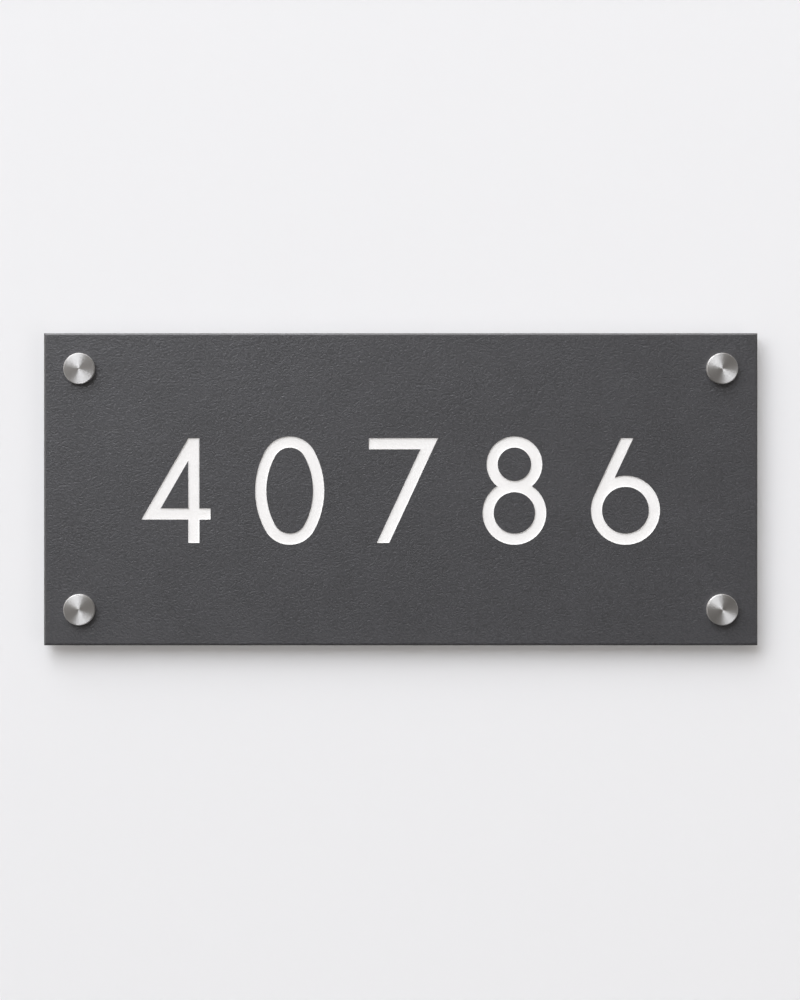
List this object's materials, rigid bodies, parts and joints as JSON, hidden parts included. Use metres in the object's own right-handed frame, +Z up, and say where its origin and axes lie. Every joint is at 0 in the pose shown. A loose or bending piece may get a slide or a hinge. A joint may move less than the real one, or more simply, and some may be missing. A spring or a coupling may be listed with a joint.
{
  "type": "house number plaque",
  "caption": "Rectangular engraved plate with white-filled numerals, held off a wall on corner spacers by countersunk screws hidden under round turned caps.",
  "frame": {"origin": "on the wall plane, behind the middle of the plate", "axes": "+Z up, +X to the right of someone reading the plaque, +Y into the wall"},
  "size_m": [0.32, 0.0413, 0.14],
  "materials": {
    "compact_laminate": "matte",
    "white_enamel": "satin",
    "turned_stainless": "satin",
    "zinc_plated_steel": "satin",
    "black_nylon": "matte"
  },
  "bodies": {
    "root": {"face_plate": "compact_laminate", "numeral_enamel_1": "white_enamel", "numeral_enamel_2": "white_enamel", "numeral_enamel_3": "white_enamel", "numeral_enamel_4": "white_enamel", "numeral_enamel_5": "white_enamel", "cap_top_left": "turned_stainless", "cap_top_right": "turned_stainless", "cap_bottom_left": "turned_stainless", "cap_bottom_right": "turned_stainless", "spacers": "black_nylon", "fixing_screws": "zinc_plated_steel"}
  },
  "joints": []
}
